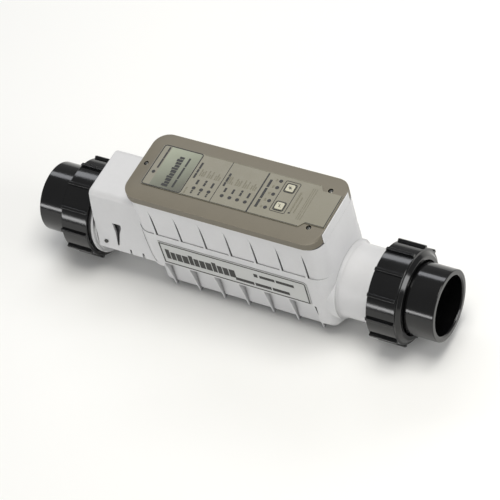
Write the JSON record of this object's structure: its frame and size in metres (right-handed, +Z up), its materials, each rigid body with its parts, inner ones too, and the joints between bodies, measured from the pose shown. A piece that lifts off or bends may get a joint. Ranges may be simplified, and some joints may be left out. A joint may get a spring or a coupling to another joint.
{
  "type": "salt chlorine generator",
  "caption": "In-line salt chlorine generator cell: finned white housing with keypad cover, electrode stack, flow switch and screwed pipe unions.",
  "frame": {"origin": "bottom centre of the bounding box, below the middle of the flow axis, on the surface that the union nut ribs stand on", "axes": "+X along the flow axis towards the outlet union, -Y the nameplate side, +Z up through the keypad cover"},
  "size_m": [0.4512, 0.0998, 0.1526],
  "materials": {
    "white_housing": "semi-gloss moulded",
    "taupe_cover": "fine satin moulded",
    "keypad_film": "printed polyester film, satin",
    "pale_keys": "satin",
    "label_film": "printed label, satin",
    "black_union": "glossy moulded",
    "rubber_seals": "smooth matt",
    "light_pipe": "smoked clear",
    "coated_titanium": "matt oxide-coated metal",
    "stainless_steel": "brushed",
    "circuit_board": "solder mask, satin",
    "gland_plastic": "satin moulded",
    "lead_jacket": "smooth",
    "natural_plastic": "satin moulded",
    "component_black": "matt"
  },
  "bodies": {
    "cell": {"anode_bus": "coated_titanium", "anode_post_nut": "stainless_steel", "anode_post_seal": "rubber_seals", "cathode_bus": "coated_titanium", "cathode_post_nut": "stainless_steel", "cathode_post_seal": "rubber_seals", "cell_housing": "white_housing", "circuit_board": "circuit_board", "control_overlay": "keypad_film", "cord_gland": "gland_plastic", "cover_screw_back": "stainless_steel", "cover_screw_front": "stainless_steel", "electrode_plate_1": "coated_titanium", "electrode_plate_2": "coated_titanium", "electrode_plate_3": "coated_titanium", "electrode_plate_4": "coated_titanium", "electrode_plate_5": "coated_titanium", "electrode_plate_6": "coated_titanium", "electrode_plate_7": "coated_titanium", "electrode_plate_8": "coated_titanium", "electrode_plate_9": "coated_titanium", "flow_switch_body": "component_black", "flow_switch_seal": "rubber_seals", "gland_lock_nut": "gland_plastic", "indicator_lights": "light_pipe", "inlet_plate_holder": "component_black", "lead_connector": "natural_plastic", "left_union_seal": "rubber_seals", "less_key_switch": "component_black", "lid_gasket": "rubber_seals", "lid_screw_back": "stainless_steel", "lid_screw_front": "stainless_steel", "lid_screw_left": "stainless_steel", "more_key_switch": "component_black", "nameplate": "label_film", "outlet_plate_holder": "component_black", "paddle_pin": "stainless_steel", "power_module": "component_black", "processor_chip": "component_black", "right_union_seal": "rubber_seals", "salinity_probe": "component_black", "sensor_cover": "white_housing", "sensor_lead": "lead_jacket", "temperature_probe": "stainless_steel", "top_cover": "taupe_cover"},
    "less_key": {"less_key": "pale_keys"},
    "more_key": {"more_key": "pale_keys"},
    "flow_paddle": {"flow_paddle": "natural_plastic"},
    "left_tailpiece": {"left_tailpiece": "black_union"},
    "right_tailpiece": {"right_tailpiece": "black_union"},
    "left_union_nut": {"left_union_nut": "black_union"},
    "right_union_nut": {"right_union_nut": "black_union"}
  },
  "joints": [
    {"name": "left_tailpiece_slide", "type": "slide", "parent": "cell", "child": "left_tailpiece", "axis": [-1, 0, 0], "range_m": [0, 0.015]},
    {"name": "left_union_nut_turn", "type": "hinge", "parent": "left_tailpiece", "child": "left_union_nut", "pos_m": [-0.177, 0, 0.0499], "axis": [-1, 0, 0], "range_deg": [0, 1080]},
    {"name": "right_tailpiece_slide", "type": "slide", "parent": "cell", "child": "right_tailpiece", "axis": [1, 0, 0], "range_m": [0, 0.015]},
    {"name": "right_union_nut_turn", "type": "hinge", "parent": "right_tailpiece", "child": "right_union_nut", "pos_m": [0.177, 0, 0.0499], "axis": [1, 0, 0], "range_deg": [0, 1080]},
    {"name": "less_key_press", "type": "slide", "parent": "cell", "child": "less_key", "axis": [0, 0, -1], "range_m": [0, 0.0007], "stiffness_N_per_m": 1500, "springref_m": -0.0003},
    {"name": "more_key_press", "type": "slide", "parent": "cell", "child": "more_key", "axis": [0, 0, -1], "range_m": [0, 0.0007], "stiffness_N_per_m": 1500, "springref_m": -0.0003},
    {"name": "flow_paddle_swing", "type": "hinge", "parent": "cell", "child": "flow_paddle", "pos_m": [-0.124, 0, 0.0729], "axis": [0, -1, 0], "range_deg": [0, 25], "stiffness_Nm_per_rad": 0.004, "springref_deg": -2.86}
  ],
  "couplings": [
    {"joint": "left_tailpiece_slide", "follows": "left_union_nut_turn", "m_per_rad": 0.00079577},
    {"joint": "right_tailpiece_slide", "follows": "right_union_nut_turn", "m_per_rad": 0.00079577}
  ]
}
